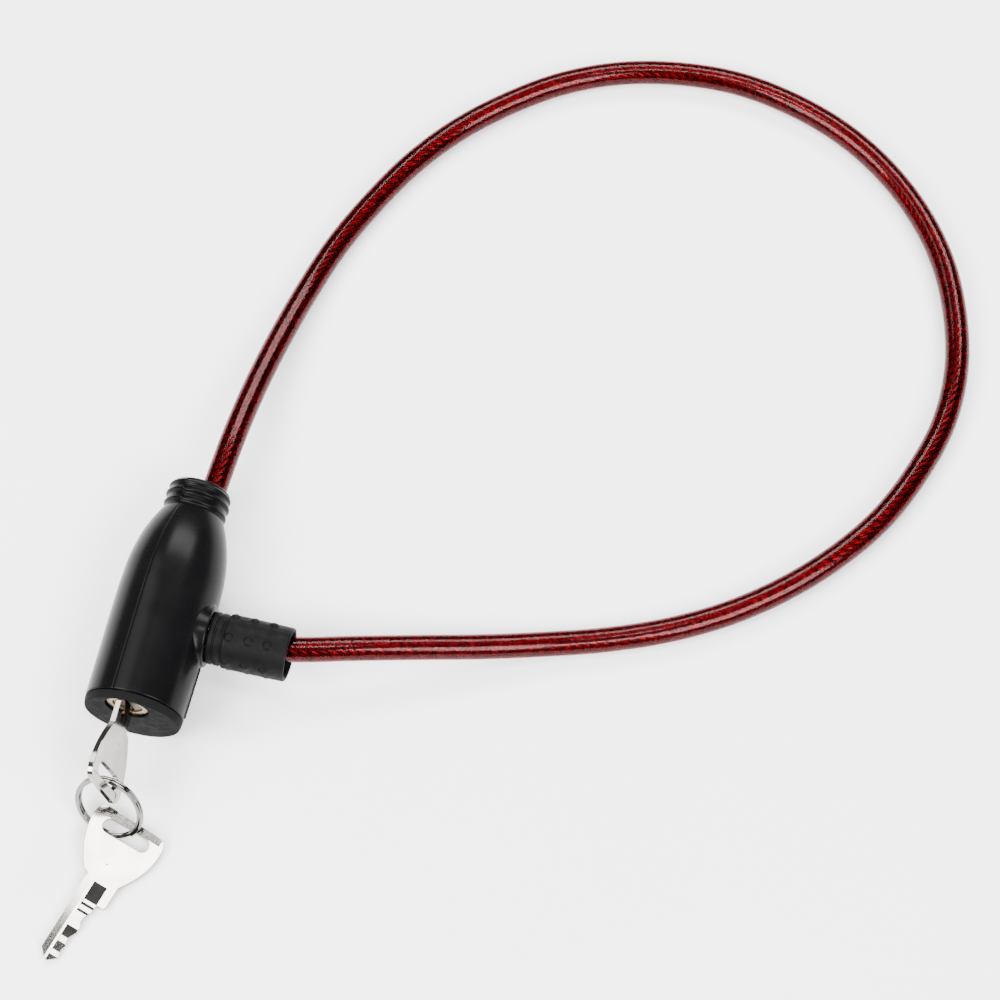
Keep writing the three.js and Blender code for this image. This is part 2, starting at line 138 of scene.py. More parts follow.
def turned(name, profile, segments=96, axis="y", centre=(0, 0)):
    """A closed profile of (radius, distance) turned about Y, or about the port's axis."""
    angles = np.linspace(0, 2 * PI, segments, endpoint=False)
    profile = np.asarray(profile, float)
    r = profile[:, 0][:, None]
    along = np.repeat(profile[:, 1][:, None], segments, axis=1)
    if axis == "y":
        points = np.stack([centre[0] + r * np.sin(angles), along, centre[1] + r * np.cos(angles)], -1)
    else:
        points = np.stack([along, PORT_Y + r * np.cos(angles), r * np.sin(angles)], -1)
    return add(name, points.reshape(-1, 3), closed_grid(len(profile), segments))


def rounded(corners, radii, steps=4):
    """A closed outline with each corner rounded by its own radius; 0 leaves it sharp."""
    out = []
    count = len(corners)
    for i in range(count):
        before, corner, after = (Vector(corners[(i + d) % count]) for d in (-1, 0, 1))
        if not radii[i]:
            out.append(tuple(corner))
            continue
        a = corner + (before - corner).normalized() * radii[i]
        b = corner + (after - corner).normalized() * radii[i]
        for n in range(steps + 1):
            t = n / steps
            out.append(tuple((1 - t) ** 2 * a + 2 * t * (1 - t) * corner + t * t * b))
    return out


def remove(piece):
    bpy.data.objects.remove(piece, do_unlink=True)


def combine(piece, others, operation, crease):
    """Takes the others out of a closed piece or adds them to it, then removes them."""
    for other in others:
        step = piece.modifiers.new("step", "BOOLEAN")
        step.operation = operation
        step.solver = "EXACT"
        step.object = other
    shape = piece.evaluated_get(bpy.context.evaluated_depsgraph_get())
    mesh = bpy.data.meshes.new_from_object(shape)
    name = piece.name
    remove(piece)
    for other in others:
        remove(other)
    return from_mesh(name, mesh, crease)


def cut(piece, *cutters, crease=35):
    return combine(piece, cutters, "DIFFERENCE", crease)


def box_cutter(x, y, z, place):
    points = [(a, b, c) for a in x for b in y for c in z]
    faces = [(0, 1, 3, 2), (4, 6, 7, 5), (0, 4, 5, 1), (2, 3, 7, 6), (0, 2, 6, 4), (1, 5, 7, 3)]
    return add("cutter", points, faces, place)


def smooth_step(t):
    t = np.clip(t, 0, 1)
    return t * t * (3 - 2 * t)


def eased(points, at):
    """A smooth curve through (value, position) points, sampled at positions."""
    y = np.array([p[1] for p in points], float)
    v = np.array([p[0] for p in points], float)
    slope = np.gradient(v, y)
    i = np.clip(np.searchsorted(y, at) - 1, 0, len(y) - 2)
    h = y[i + 1] - y[i]
    t = np.clip((at - y[i]) / h, 0, 1)
    return ((2 * t**3 - 3 * t**2 + 1) * v[i] + (t**3 - 2 * t**2 + t) * h * slope[i]
            + (-2 * t**3 + 3 * t**2) * v[i + 1] + (t**3 - t**2) * h * slope[i + 1])


# ---- materials ----
class Finish:
    """A procedural material. Object coordinates are in metres, so scales are per metre."""

    def __init__(self, name, **sockets):
        self.material = bpy.data.materials.new(name)
        self.material.use_nodes = True
        self.nodes = self.material.node_tree.nodes
        self.links = self.material.node_tree.links
        self.shader = self.nodes["Principled BSDF"]
        self.place = self.nodes.new("ShaderNodeTexCoord")
        for socket, value in sockets.items():
            self.shader.inputs[socket.replace("_", " ")].default_value = value
        self.relief = None

    def noise(self, scale, detail=3.0, stretch=(1, 1, 1)):
        spot = self.nodes.new("ShaderNodeMapping")
        spot.inputs["Scale"].default_value = stretch
        node = self.nodes.new("ShaderNodeTexNoise")
        node.inputs["Scale"].default_value = scale
        node.inputs["Detail"].default_value = detail
        node.inputs["Roughness"].default_value = 0.55
        self.links.new(self.place.outputs["Object"], spot.inputs["Vector"])
        self.links.new(spot.outputs["Vector"], node.inputs["Vector"])
        return node.outputs["Fac"]

    def colour(self, value, *stops):
        """Base colour from two (position, shade) stops of a noise's range."""
        node = self.nodes.new("ShaderNodeValToRGB")
        for element, (position, shade) in zip(node.color_ramp.elements, stops):
            element.position = position
            element.color = (*shade, 1)
        self.links.new(value, node.inputs["Fac"])
        self.links.new(node.outputs["Color"], self.shader.inputs["Base Color"])

    def rough(self, value, low, high):
        """Roughness from low to high over the middle of a noise's range."""
        node = self.nodes.new("ShaderNodeMapRange")
        for socket, number in (("From Min", 0.35), ("From Max", 0.65), ("To Min", low), ("To Max", high)):
            node.inputs[socket].default_value = number
        self.links.new(value, node.inputs["Value"])
        self.links.new(node.outputs["Result"], self.shader.inputs["Roughness"])

    def bump(self, value, depth, strength):
        """Relief of that depth in millimetres, on top of what is there."""
        node = self.nodes.new("ShaderNodeBump")
        node.inputs["Distance"].default_value = depth * MM
        node.inputs["Strength"].default_value = strength
        self.links.new(value, node.inputs["Height"])
        if self.relief:
            self.links.new(self.relief, node.inputs["Normal"])
        self.relief = node.outputs["Normal"]
        self.links.new(self.relief, self.shader.inputs["Normal"])


def gloss_black():
    f = Finish("gloss_black", Specular_IOR_Level=0.065, IOR=1.5)
    f.colour(f.noise(60, 4), (0.3, (0.0018, 0.0018, 0.002)), (0.7, (0.003, 0.003, 0.0033)))
    f.rough(f.noise(90, 3), 0.23, 0.28)
    f.bump(f.noise(110, 2), 0.02, 0.3)
    f.bump(f.noise(2600, 2), 0.004, 0.3)
    return f.material


def cap_grey():
    f = Finish("cap_grey", Specular_IOR_Level=0.016)
    f.colour(f.noise(90, 5), (0.3, (0.0042, 0.0042, 0.0045)), (0.7, (0.0068, 0.0068, 0.0071)))
    f.rough(f.noise(500, 4), 0.5, 0.66)
    f.bump(f.noise(3200, 3), 0.02, 0.6)
    f.bump(f.noise(160, 2), 0.05, 0.25)
    return f.material


def grip_black():
    f = Finish("grip_black", Specular_IOR_Level=0.055)
    f.colour(f.noise(120, 5), (0.3, (0.0022, 0.0022, 0.0024)), (0.72, (0.0042, 0.0042, 0.0045)))
    f.rough(f.noise(420, 4), 0.42, 0.62)
    f.bump(f.noise(2400, 3), 0.035, 0.8)
    return f.material


def metal(name, dark, light, rough, streak=(1, 1, 1), grain=900.0, relief=0.004):
    """A metal from its darkest to its lightest shade, with a range of roughness along its grain."""
    f = Finish(name, Metallic=1.0)
    lines = f.noise(grain, 3, stretch=streak)
    f.colour(f.noise(150, 4), (0.3, dark), (0.7, light))
    f.rough(lines, *rough)
    f.bump(lines, relief, 0.5)
    return f.material


def red_vinyl():
    f = Finish("red_vinyl", Transmission_Weight=1.0, IOR=1.2)
    f.colour(f.noise(300, 3), (0.35, (0.42, 0.006, 0.013)), (0.65, (0.52, 0.01, 0.02)))
    f.rough(f.noise(500, 3), 0.08, 0.14)
    f.bump(f.noise(260, 3), 0.03, 0.4)
    return f.material


def wire_rope():
    f = Finish("wire_rope", Metallic=1.0)
    f.colour(f.noise(420, 3), (0.3, (0.05, 0.045, 0.045)), (0.7, (0.12, 0.11, 0.11)))
    f.rough(f.noise(1500, 3), 0.22, 0.32)
    return f.material


BLACK = gloss_black()
CAP = cap_grey()
GRIP = grip_black()
VINYL = red_vinyl()
ROPE = wire_rope()
BRASS = metal("brass", (0.19, 0.125, 0.06), (0.28, 0.195, 0.105), (0.26, 0.4))
# The plug's brass, painted much darker than the barrel's brass as painted shade of the recess it sits in.
PLUG_BRASS_SHADE = metal("plug_brass_painted_shade", (0.05, 0.028, 0.013), (0.1, 0.06, 0.028), (0.3, 0.46))
STEEL = metal("steel", (0.5, 0.5, 0.49), (0.64, 0.63, 0.62), (0.16, 0.3))
ZINC = metal("zinc", (0.36, 0.36, 0.36), (0.5, 0.5, 0.49), (0.36, 0.52), grain=1600, relief=0.02)
WIRE = metal("drawn_wire", (0.28, 0.28, 0.27), (0.42, 0.41, 0.4), (0.25, 0.4))
NICKEL = metal("nickel", (0.27, 0.255, 0.234), (0.36, 0.341, 0.314), (0.1, 0.14),
               streak=(5, 0.25, 5), relief=0.0015)
CHROME = metal("chrome", (0.15, 0.145, 0.138), (0.22, 0.213, 0.205), (0.05, 0.1))


def dress(piece, material, body, slot, *nodes):
    """Gives a piece its material and its body if it has just one, and hides the CAD nodes it stands for; slot
    is not used.
    """
    piece.data.materials.clear()
    piece.data.materials.append(material)
    if body:
        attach(piece, body)
    if nodes:
        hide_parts(*nodes)
    return piece


# ---- the cable, first of the pieces ----
CABLE_R = 4.0
CABLE_STEP = 1.6
FERRULE_MOUTH = 52  # the cable is drawn from here on
ROPE_R = 3.2
ROPE_STEP = 0.9
WIRES = 12
LAY = 35.0  # one turn of the rope's wires
WIRE_RING = 2.46
WIRE_R = ROPE_R - WIRE_RING
ROUTE = [
    (2.8, 47, 15.4), (3, 60, 15.25), (3.7, 81, 14.6), (4.5, 101, 13.3), (6, 121, 10.6), (8.5, 141, 7.4),
    (12, 160, 5.1), (17, 179, 4.2), (24.5, 197.5, 4.2), (33.5, 215, 4.2), (45, 231, 4.2), (59, 245, 4.2),
    (75, 257, 4.2), (93, 265.5, 4.2), (112, 270, 4.2), (132, 271, 4.2), (151.5, 267.5, 4.2),
    (170, 260.5, 4.2), (186.5, 250, 4.2), (201, 236, 4.2), (212, 220, 4.2), (219.5, 201.5, 4.2),
    (223.5, 182, 4.2), (223, 162, 4.2), (218, 143, 4.2), (210, 124.5, 4.2), (199, 108.5, 4.2),
    (185.5, 94, 4.2), (170, 81.5, 4.2), (153, 71.5, 4.2), (134.5, 63.5, 4.3), (116, 57, 5.4),
    (97.5, 50.5, 8.2), (79, 44.5, 11.4), (60, 38.4, 14.3), (43, 33.4, 15.5), (29.5, 31, 15.85),
    (24, 31, 15.85), (19.4, 31, 15.85),
]


def centripetal(points, per_span=12):
    """Points along the centripetal Catmull-Rom curve through the route."""
    p = [Vector(q) for q in points]
    p = [2 * p[0] - p[1], *p, 2 * p[-1] - p[-2]]
    out = []
    for a, b, c, d in zip(p, p[1:], p[2:], p[3:]):
        ta = math.sqrt((b - a).length)
        tb = math.sqrt((c - b).length)
        tc = math.sqrt((d - c).length)
        m1 = ((b - a) / ta - (c - a) / (ta + tb) + (c - b) / tb) * tb
        m2 = ((c - b) / tb - (d - b) / (tb + tc) + (d - c) / tc) * tb
        for n in range(per_span):
            t = n / per_span
            out.append((2 * t**3 - 3 * t**2 + 1) * b + (t**3 - 2 * t**2 + t) * m1
                       + (-2 * t**3 + 3 * t**2) * c + (t**3 - t**2) * m2)
    return [*out, p[-2]]


def evenly(points, step):
    """The same line at even steps, and its length."""
    q = np.array([tuple(point) for point in points])
    run = np.concatenate([[0], np.cumsum(np.linalg.norm(np.diff(q, axis=0), axis=1))])
    at = np.linspace(0, run[-1], int(run[-1] / step) + 1)
    return np.stack([np.interp(at, run, q[:, k]) for k in range(3)], 1), run[-1]


def swept(name, line, radius_at, columns, place):
    """A closed tube along a line; radius_at gives the radii round it at each distance along."""
    tangent = np.gradient(line, axis=0)
    tangent /= np.linalg.norm(tangent, axis=1)[:, None]
    side = np.cross(tangent, (0, 0, 1.0))
    side /= np.linalg.norm(side, axis=1)[:, None]
    up = np.cross(side, tangent)
    along = np.concatenate([[0], np.cumsum(np.linalg.norm(np.diff(line, axis=0), axis=1))])
    angles = np.linspace(0, 2 * PI, columns, endpoint=False)
    rows = []
    for centre, s, u, distance in zip(line, side, up, along):
        r = radius_at(distance, angles)[:, None]
        rows.append(centre + r * (np.cos(angles)[:, None] * s + np.sin(angles)[:, None] * u))
    faces = [face[::-1] for face in wrapped_grid(len(line), columns, ends=True)]
    return add(name, np.concatenate(rows), faces, place, crease=60)


CABLE_PLACE = Matrix.Translation(TABLE * MM) @ Matrix.Scale(MM, 4)
whole_route, _ = evenly(centripetal(ROUTE), 0.8)
inside_ferrule = (whole_route[:, 0] < 10) & (whole_route[:, 1] < FERRULE_MOUTH)
cable_line, cable_length = evenly(whole_route[~inside_ferrule], CABLE_STEP)
rope_line, _ = evenly(cable_line, ROPE_STEP)


def jacket_radius(distance, angles):
    return np.full(len(angles), CABLE_R)


def rope_radius(distance, angles):
    """The outline of a ring of round wires, turned on by the lay."""
    half = PI / WIRES
    turn = (angles + 2 * PI * distance / LAY) % (2 * half) - half
    reach = WIRE_R**2 - (WIRE_RING * np.sin(turn)) ** 2
    return WIRE_RING * np.cos(turn) + np.sqrt(np.maximum(reach, 0))


jacket = swept("jacket", cable_line, jacket_radius, 40, CABLE_PLACE)
rope = swept("rope", rope_line, rope_radius, WIRES * 8, CABLE_PLACE)
dress(rope, ROPE, None, "wire_rope", "cable_core")
dress(jacket, VINYL, None, "red_jacket", "cable_jacket")
# Between start and end lie 27 mm of the loop's far side. They run along the pin's travel.
for piece in (jacket, rope):
    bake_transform(piece)

# ---- the shells ----
BOTTLE = [
    (15.5, 2.8), (15.6, 14), (15.8, 31), (15.75, 43), (15.4, 50), (14.75, 54.5), (13.8, 58.8),
    (12.6, 62.6), (11.3, 65.8), (10.1, 68.3), (9.6, 69.2), (9.55, 72), (9.5, 78.2),
]
BORE = [
    (13.6, 2.8), (13.6, 48), (12.6, 54.5), (11.7, 58.8), (10.5, 62.6), (9.3, 65.8), (8.6, 68.4), (8.6, 78.2),
]
NECK_END = 78.2
LIP = {"drop": 0.45, "over": 0.5}  # rounding of the neck's end
FOOT = {"drop": 0.25, "from": 3.2, "over": 0.4}  # rounding where the shells meet the cap
BEADS = [(70.9, 0.7, 0.95), (74.15, 0.8, 1.0), (76.9, 0.5, 0.8)]  # place, height and half width
BEAD_SLIP = 0.45  # the moulds' halves don't quite meet
SEAM = math.radians(110)  # the parting plane, from +X up
SEAM_GAP = 0.0035  # radians from the plane to each half
SEAM_GROOVE = {"depth": 0.07, "width": 0.16}
BOSS = {"bore": 6.3, "root": 12.5, "r": 9.65, "face": 16.3, "foot": 11.7, "edge": 0.6}
SIDE_RIB = {"angle": math.radians(-4), "height": 0.4, "half": 0.65, "from": 3.5, "to": 21}


def outer_radius(angle, y, slip):
    """Radius of the shell at an angle from +X towards +Z."""
    body = eased(BOTTLE, y)
    for at, height, half in BEADS:
        body = body + height * smooth_step(1.15 - np.abs(y - at - slip) / half)
    body = body - LIP["drop"] * smooth_step((y - NECK_END + LIP["over"]) / LIP["over"])
    body = body - FOOT["drop"] * smooth_step((FOOT["from"] - y) / FOOT["over"])
    side = np.abs(angle - SIDE_RIB["angle"]) * body
    ends = smooth_step((y - SIDE_RIB["from"]) / 0.5) * smooth_step((SIDE_RIB["to"] - y) / 0.5)
    return body + SIDE_RIB["height"] * smooth_step((SIDE_RIB["half"] - side) / 0.3) * ends


def shell_half(name, first, last, slip):
    """The closed half shell between two angles from +X; slip shifts its beads along the neck."""
    columns = 200
    low, high = first + SEAM_GAP, last - SEAM_GAP
    angles = np.linspace(low, high, columns)
    y = np.concatenate([
        np.linspace(2.85, 4, 8)[:-1], np.linspace(4, 18, 30)[:-1], np.linspace(18, 44, 60)[:-1],
        np.linspace(44, 68, 56)[:-1], np.linspace(68, NECK_END, 66),
    ])
    A, Y = np.meshgrid(angles, y)
    R = outer_radius(A, Y, slip)
    from_seam = np.minimum(A - low, high - A) * R
    R = R - SEAM_GROOVE["depth"] * (1 - smooth_step(from_seam / SEAM_GROOVE["width"]))
    outer = np.stack([R * np.cos(A), Y, R * np.sin(A)], -1).reshape(-1, 3)
    B = eased(BORE, Y)
    inner = np.stack([B * np.cos(A), Y, B * np.sin(A)], -1).reshape(-1, 3)
    rows = len(y)
    size = rows * columns
    faces = []
    for a, b, c, d in wrapped_grid(rows, columns, around=False):
        faces.append((d, c, b, a))
        faces.append((a + size, b + size, c + size, d + size))
    for i in range(rows - 1):
        for j, flip in ((0, False), (columns - 1, True)):
            p, q = i * columns + j, (i + 1) * columns + j
            face = (p, p + size, q + size, q)
            faces.append(face[::-1] if flip else face)
    for j in range(columns - 1):
        for i, flip in ((0, True), (rows - 1, False)):
            p, q = i * columns + j, i * columns + j + 1
            face = (p, p + size, q + size, q)
            faces.append(face[::-1] if flip else face)
    return add(name, np.concatenate([outer, inner]), faces, crease=40)


def port_boss():
    """The collar round the port, flared at its foot to run into the body."""
    columns = 144
    angles = np.linspace(0, 2 * PI, columns, endpoint=False)
    foot, face, r, bore, edge = (BOSS[size] for size in ("foot", "face", "r", "bore", "edge"))
    surface = eased(BOTTLE, PORT_Y + foot * np.cos(angles))
    body = np.sqrt(surface**2 - (foot * np.sin(angles)) ** 2)
    level = np.ones(columns)
    rows = [(bore * level, BOSS["root"] * level), ((foot - edge) * level, body - 1.3)]
    for t in np.linspace(1, 0, 12):
        bend = np.minimum(body + 0.35, face - 0.7)
        x = t * t * (body - 0.3) + 2 * t * (1 - t) * bend + (1 - t) ** 2 * (face - edge)
        rows.append(((t * t * foot + 2 * t * (1 - t) * (r + 0.2) + (1 - t) ** 2 * r) * level, x))
    for inset, drop in ((0.08, 0.3), (0.3, 0.08), (0.6, 0)):
        rows.append(((r - inset) * level, (face - drop) * level))
    for inset, drop in ((0.6, 0), (0.2, 0.12), (0, 0.45)):
        rows.append(((bore + inset) * level, (face - drop) * level))
    points = [np.stack([x, PORT_Y + p * np.cos(angles), p * np.sin(angles)], -1) for p, x in rows]
    return add("boss", np.concatenate(points), closed_grid(len(rows), columns), crease=40)


port_half = shell_half("port_half", SEAM - PI, SEAM, -BEAD_SLIP)
hole = turned(
    "cutter", [(0.001, 8), (BOSS["bore"], 8), (BOSS["bore"], 17), (0.001, 17)], axis="x", segments=72)
port_half = combine(cut(port_half, hole, crease=40), [port_boss()], "UNION", 40)
plain_half = shell_half("plain_half", SEAM, SEAM + PI, 0)
dress(port_half, BLACK, "housing", "gloss_black", "shell_port_side")
dress(plain_half, BLACK, "housing", "gloss_black", "shell_plain_side")

# ---- end cap, cylinder ----
CAP_OUTLINE = rounded(
    [(0.001, 0), (15.0, 0), (15.45, 2.45), (13.2, 2.45), (13.2, 4.5), (0.001, 4.5)],
    [0, 0.6, 0.25, 0, 0.2, 0], 6)
end_cap = turned("end_cap_face", CAP_OUTLINE, segments=128)
keyhole = turned(
    "cutter", [(0.001, -1), (7.9, -1), (6.9, 0.12), (6.9, 6), (0.001, 6)],
    centre=(KEYHOLE_X, KEYHOLE_Z), segments=80)
end_cap = cut(end_cap, keyhole)
dress(end_cap, CAP, "housing", "cap_grey", "end_cap")

BARREL_OUTLINE = rounded(
    [(4.67, 0.8), (6.6, 0.8), (6.6, 24), (5.27, 24), (5.27, 2.4), (4.67, 2.4)],
    [0.15, 0.35, 0.2, 0.1, 0, 0])
barrel = turned("barrel", BARREL_OUTLINE, centre=(KEYHOLE_X, KEYHOLE_Z), segments=80)
barrel = cut(barrel, box_cutter((-2.45, 2.45), (4.9, 25), (-5.75, 5.75), TURNING))
dress(barrel, BRASS, "housing", "brass", "lock_barrel")

# ---- port, pin and grip ----
BUSH_OUTLINE = rounded([(4.07, 9.6), (6, 9.6), (6, 16.1), (4.07, 16.1)], [0.1, 0.1, 0.25, 0.3])
bush = turned("bush", BUSH_OUTLINE, axis="x")
dress(bush, STEEL, "housing", "steel", "port_bush")

PIN_OUTLINE = rounded(
    [(0.001, -6.4), (2.8, -6.4), (4, -5), (4, -2.7), (2.3, -2.7), (2.3, 2.7), (4, 2.7), (4, 17.8),
     (6.3, 17.8), (6.3, 18.9), (0.001, 18.9)],
    [0, 0.4, 0.5, 0.2, 0.3, 0.3, 0.2, 0, 0.15, 0.15, 0])
pin = turned("pin_turned", PIN_OUTLINE, axis="x")
dress(pin, STEEL, "pin", "steel", "lock_pin")

SLEEVE = [
    (4.3, 16.45), (7.8, 16.45), (8.15, 16.8), (8.2, 18.15), (7.85, 18.4), (7.85, 18.75), (8.2, 19),
    (8.2, 20.5), (7.85, 20.8), (7.85, 21.25), (8.4, 21.5), (8.55, 21.9), (8.55, 30), (8.5, 38),
    (8.45, 40.9), (8.2, 41.45), (7.75, 41.6), (7.3, 41.4), (7.2, 41), (7.2, 31.4), (6.3, 31.4),
    (6.3, 19.2), (6.6, 19.2), (6.6, 17.5), (4.3, 17.5),
]
GRIP_R = 8.55
GRIP_FROM, GRIP_TO = 21.9, 40.9
BUMPS = (23.2, 29.3, 35.3)
BUMP_ROWS = 6
BUMP_TURN = math.radians(101.8)
BUMP = {"height": 0.55, "r": 1.6, "flank": 0.8}
MOULD_LINE = {"angle": math.radians(62), "r": 8.5, "height": 0.09, "half": 0.28, "flank": 0.2}


def grip_profile():
    """The sleeve's outline with the plain grip between its ends filled in at fine steps."""
    out = []
    for (r0, x0), (r1, x1) in zip(SLEEVE, [*SLEEVE[1:], SLEEVE[0]]):
        steps = max(1, int(abs(x1 - x0) / 0.28)) if x0 >= GRIP_FROM and x1 <= GRIP_TO and r0 > 8 else 2
        for n in range(steps):
            out.append((r0 + (r1 - r0) * n / steps, x0 + (x1 - x0) * n / steps))
    return np.array(out)


def grip_sleeve():
    """The sleeve with its rows of raised dots and the mould's line along it."""
    columns = 200
    profile = grip_profile()
    angles = np.linspace(0, 2 * PI, columns, endpoint=False)
    R = np.repeat(profile[:, 0][:, None], columns, 1)
    X = np.repeat(profile[:, 1][:, None], columns, 1)
    A = np.repeat(angles[None], len(profile), 0)
    outside = (R > 7.7) & (X > 16.9)
    for row in range(BUMP_ROWS):
        around = (A - 2 * PI * row / BUMP_ROWS - BUMP_TURN + PI) % (2 * PI) - PI
        for x in BUMPS:
            away = np.hypot(around * GRIP_R, X - x)
            R = R + np.where(outside, BUMP["height"] * smooth_step((BUMP["r"] - away) / BUMP["flank"]), 0)
    away = np.abs((A - MOULD_LINE["angle"] + PI) % (2 * PI) - PI) * MOULD_LINE["r"]
    line = smooth_step((MOULD_LINE["half"] - away) / MOULD_LINE["flank"])
    R = R + np.where(outside, MOULD_LINE["height"] * line, 0)
    points = np.stack([X, PORT_Y + R * np.cos(A), R * np.sin(A)], -1)
    return add("grip", points.reshape(-1, 3), closed_grid(len(profile), columns), crease=50)


dress(grip_sleeve(), GRIP, "pin", "grip_black", "grip_sleeve")

# ---- keys ----
KEY_THICK = 1.8
KEY_FACE = KEY_THICK / 2
CLEAR = KEY_FACE + 1  # how far out a cutter reaches
BEVEL = 0.13
KEY_SLOT = {"r": 2.2, "along": -15.2, "low": -5.65, "high": 5.8}
# The land along the blade's plain edge, with its depth at that edge by the bow and by the tip
LAND = {"inner": -1.5, "outer": -4.5, "from": 0.6, "length": 31, "depths": (0.28, 0.47)}
MILLED_ACROSS = (-0.6, 3.9)
BAND = {"along": (-20.2, -17.45), "across": (-9.2, 10.4), "depth": 0.2}
DOT = {"along": (-5.05, -4.55), "across": (-0.35, 0.15), "depth": 0.2}
WARD_DEPTH = 0.45
FRONT_WARD = {"along": (8, 35), "across": (-1.5, -0.75)}
BACK_WARD = {"along": (3, 35), "across": (-0.9, 0.5)}
# Depth of the milled floor beside the cuts, as (along, depth)
MILLED = [
    (1.4, 0), (1.45, 0.12), (3, 0.3), (4.5, 0.5), (6, 0.7), (7.4, 0.86), (8.4, 0.84), (9.3, 0.66),
    (10.1, 0.36), (10.8, 0.14), (11.6, 0.22), (16.6, 0.02), (18.4, 0.36), (20.2, 0.76), (22.2, 0.06),
    (23.6, 0.4), (25.1, 0.76), (26.8, 0.1), (29, 0.6), (30, 0.6),
]
BITTING = [
    (3.6, 10.4), (2.45, 12.3), (2.35, 14.1), (3.25, 15.9), (3.05, 17.7), (1.85, 19.8), (1.85, 21.1),
    (2.45, 22.6), (1.85, 24.1), (1.95, 25.3), (2.5, 26.8), (-0.2, 29), (-1.8, 28.1),
]


def bezier(*points, steps=14):
    """Points of a quadratic or cubic curve after its first point."""
    out = []
    for n in range(1, steps + 1):
        q = [Vector(p) for p in points]
        while len(q) > 1:
            q = [a.lerp(b, n / steps) for a, b in zip(q, q[1:])]
        out.append(tuple(q[0]))
    return out


def key_outline():
    return [
        (-3.65, 0.2), (-5.65, -0.6),
        *bezier((-5.65, -0.6), (-9.4, -5.5), (-11.8, -10.5), (-12.1, -16.5)),
        *bezier((-12.1, -16.5), (-12.1, -20.5), (-8.5, -20.5), steps=24),
        (8.7, -19.9),
        *bezier((8.7, -19.9), (12.1, -19.7), (12.1, -15.5), steps=24),
        *bezier((12.1, -15.5), (12.1, -9), (9.5, -4.6), (6.65, -0.2)),
        (6.65, 6.7), (6.05, 7.5), (3.65, 7.5), *BITTING, (-3.65, 26.2),
    ]


def slot_outline():
    r, along = KEY_SLOT["r"], KEY_SLOT["along"]
    turn = np.linspace(-PI / 2, PI / 2, 45)
    high = [(KEY_SLOT["high"] + r * math.cos(a), along + r * math.sin(a)) for a in turn]
    low = [(KEY_SLOT["low"] - r * math.cos(a), along - r * math.sin(a)) for a in turn]
    return high + low


def prism(outline, across):
    """A cutter with an (x, y) outline between two values of z."""
    area = sum(a[0] * b[1] - b[0] * a[1] for a, b in zip(outline, [*outline[1:], outline[0]]))
    ring = outline if area > 0 else outline[::-1]
    n = len(ring)
    points = [(x, y, z) for z in across for x, y in ring]
    sides = [(i, (i + 1) % n, (i + 1) % n + n, i + n) for i in range(n)]
    return add("cutter", points, [tuple(range(n))[::-1], tuple(range(n, 2 * n)), *sides], Matrix())


def let_in(floor, across):
    """A cutter for a hollow in the cut face, from its floor's (along, depth) points."""
    outline = [(KEY_FACE - depth, along) for along, depth in floor]
    return prism([(CLEAR, floor[0][0]), *outline, (CLEAR, floor[-1][0])], across)


def band():
    """The flat by the bow's far edge, level with the face at its start."""
    start, end = BAND["along"]
    return let_in([(start, 0.01), (end, BAND["depth"])], BAND["across"])


def dot(steps=6):
    """A shallow round-bottomed pit."""
    start, end = DOT["along"]
    floor = []
    for n in range(steps + 1):
        t = n / steps
        floor.append((start + (end - start) * t, 4 * DOT["depth"] * t * (1 - t)))
    return let_in(floor, DOT["across"])


def ward(groove, front):
    """A cutter for a groove along the blade, in its front or its back."""
    side = (KEY_FACE - WARD_DEPTH, CLEAR) if front else (-CLEAR, WARD_DEPTH - KEY_FACE)
    return box_cutter(side, groove["along"], groove["across"], Matrix())


def tapered_land(steps=20):
    """A cutter that tilts the land along the blade's plain edge, more and more towards the tip."""
    inner, outer = LAND["inner"], LAND["outer"]
    first, last = LAND["depths"]
    points = []
    for n in range(steps + 1):
        t = n / steps
        y = LAND["from"] + LAND["length"] * t
        depth = first + (last - first) * t
        edge = [(CLEAR, inner), (KEY_FACE + 0.001, inner), (KEY_FACE - depth, outer), (CLEAR, outer)]
        points += [(x, y, z) for x, z in edge]
    faces = [face[::-1] for face in wrapped_grid(steps + 1, 4, ends=True)]
    return add("cutter", points, faces, Matrix())


def key_blank(name):
    """A key in its own frame: across along Z, blade along +Y, cut face towards +X."""
    curve = bpy.data.curves.new(name, "CURVE")
    curve.dimensions = "2D"
    curve.fill_mode = "BOTH"
    curve.extrude = KEY_FACE - BEVEL
    curve.bevel_depth = BEVEL
    curve.bevel_resolution = 2
    curve.offset = -BEVEL
    for outline in (key_outline(), slot_outline()):
        spline = curve.splines.new("POLY")
        spline.points.add(len(outline) - 1)
        spline.points.foreach_set("co", [c for x, y in outline for c in (x, y, 0, 1)])
        spline.use_cyclic_u = True
    flat = bpy.data.objects.new(name, curve)
    bpy.context.scene.collection.objects.link(flat)
    mesh = bpy.data.meshes.new_from_object(flat.evaluated_get(bpy.context.evaluated_depsgraph_get()))
    remove(flat)
    mesh.transform(Matrix(((0, 0, -1, 0), (0, 1, 0, 0), (1, 0, 0, 0), (0, 0, 0, 1))))
    return cut(
        from_mesh(name, mesh),
        let_in(MILLED, MILLED_ACROSS),
        tapered_land(),
        ward(FRONT_WARD, front=True),
        band(),
        dot(),
        ward(BACK_WARD, front=False),
        crease=4.5,
    )


def key(name, place):
    blank = key_blank(name)
    blank.data.transform(Matrix.Scale(MM, 4))
    blank.matrix_world = place
    return blank


def placed(x_axis, y_hint, at):
    """The placement with local X along one direction and local Y nearest another."""
    x = Vector(x_axis).normalized()
    y = (Vector(y_hint) - x * Vector(y_hint).dot(x)).normalized()
    turn = Matrix((x, y, x.cross(y))).transposed().to_4x4()
    return Matrix.Translation(at) @ turn


